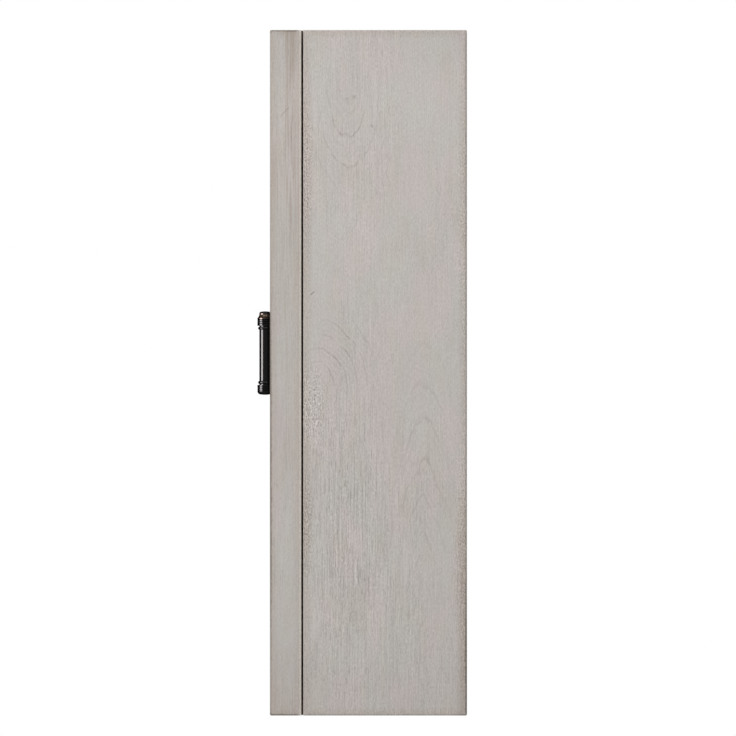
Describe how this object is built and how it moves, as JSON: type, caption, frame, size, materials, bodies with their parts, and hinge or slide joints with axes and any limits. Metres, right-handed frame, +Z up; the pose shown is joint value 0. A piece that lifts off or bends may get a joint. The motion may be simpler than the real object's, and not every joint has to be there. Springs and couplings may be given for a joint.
{
  "type": "medicine cabinet",
  "caption": "Tall wall-hung bathroom cabinet in whitewashed wood with a thick framed mirror door, a dark upright pull handle, concealed hinges and glass shelves inside.",
  "frame": {"origin": "middle of the back of the cabinet, on the wall plane", "axes": "+Z up, +Y into the wall, -Y towards the room, +X to the hinge side of the door"},
  "size_m": [0.61, 0.256, 0.762],
  "materials": {
    "whitewashed_wood": "cream-grey whitewash over open-grained wood, edges worn to brown",
    "back_plywood": "plain sanded plywood",
    "dowel_wood": "plain beech",
    "hardboard": "smooth brown hardboard",
    "mirror": "silvered glass with a ground bevel",
    "shelf_glass": "clear glass with ground edges",
    "shelf_peg_nickel": "nickel plate",
    "clear_silicone": "clear silicone",
    "hinge_nickel": "nickel-plated pressed steel",
    "zinc_screws": "bright zinc plate",
    "catch_plastic": "moulded off-white",
    "catch_ferrite": "sintered ferrite",
    "catch_steel": "zinc-plated sheet",
    "dust_felt": "dark brown felt tape",
    "dark_bronze": "dark oil-rubbed bronze, rubbed through on the rings"
  },
  "bodies": {
    "cabinet": {"side_left": "whitewashed_wood", "side_right": "whitewashed_wood", "top_board": "whitewashed_wood", "bottom_board": "whitewashed_wood", "hanging_rail": "whitewashed_wood", "lower_rail": "whitewashed_wood", "back_panel": "back_plywood", "case_dowels": "dowel_wood", "shelf_upper": "shelf_glass", "shelf_lower": "shelf_glass", "shelf_pegs": "shelf_peg_nickel", "shelf_pads": "clear_silicone", "hinge_plate_upper": "hinge_nickel", "hinge_plate_lower": "hinge_nickel", "hinge_arm_upper": "hinge_nickel", "hinge_arm_lower": "hinge_nickel", "back_screws": "zinc_screws", "hinge_plate_screws": "zinc_screws", "hinge_arm_screws": "zinc_screws", "catch_screws": "zinc_screws", "catch_body": "catch_plastic", "catch_magnet": "catch_ferrite", "catch_poles": "catch_steel", "dust_strips": "dust_felt"},
    "door": {"stile_left": "whitewashed_wood", "stile_right": "whitewashed_wood", "rail_top": "whitewashed_wood", "rail_bottom": "whitewashed_wood", "frame_dowels": "dowel_wood", "mirror_glass": "mirror", "mirror_backing": "hardboard", "bead_left": "whitewashed_wood", "bead_right": "whitewashed_wood", "bead_top": "whitewashed_wood", "bead_bottom": "whitewashed_wood", "bead_pins": "zinc_screws", "hinge_cup_upper": "hinge_nickel", "hinge_cup_lower": "hinge_nickel", "hinge_pin_upper": "hinge_nickel", "hinge_pin_lower": "hinge_nickel", "hinge_cup_screws": "zinc_screws", "handle_bar": "dark_bronze", "handle_ferrule_upper": "dark_bronze", "handle_ferrule_lower": "dark_bronze", "handle_post_upper": "dark_bronze", "handle_post_lower": "dark_bronze", "handle_rosette_upper": "dark_bronze", "handle_rosette_lower": "dark_bronze", "handle_screws": "zinc_screws", "strike_plate": "catch_steel", "strike_screw": "zinc_screws", "door_buffers": "clear_silicone", "dust_pads": "dust_felt"}
  },
  "joints": [
    {"name": "door_hinge", "type": "hinge", "parent": "cabinet", "child": "door", "pos_m": [0.297, -0.197, 0], "axis": [0, 0, 1], "range_deg": [0, 95]}
  ]
}
